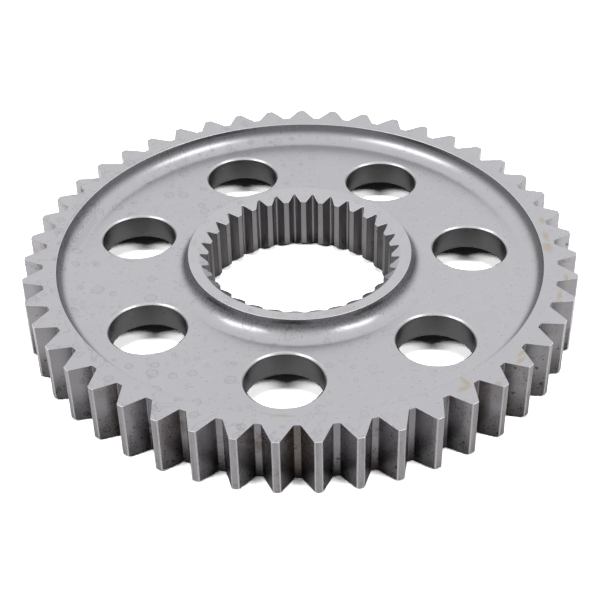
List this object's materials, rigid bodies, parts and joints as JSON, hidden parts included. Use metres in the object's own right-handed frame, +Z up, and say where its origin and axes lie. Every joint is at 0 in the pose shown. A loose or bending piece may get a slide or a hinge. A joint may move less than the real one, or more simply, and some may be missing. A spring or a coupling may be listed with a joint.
{
  "type": "chain sprocket",
  "caption": "Flat toothed wheel for an inverted-tooth chain, with a splined hub bore, a recessed web on both sides and a ring of round lightening holes.",
  "frame": {"origin": "centre of the spline bore in the plane of the lower end face, on which the wheel lies", "axes": "+Z up along the wheel's axis towards the deeper recess, +X through the middle of one chain tooth"},
  "size_m": [0.1429, 0.143, 0.0166],
  "materials": {
    "steel": "machined steel with water spots and faint oil stains"
  },
  "bodies": {
    "root": {"sprocket": "steel"}
  },
  "joints": []
}
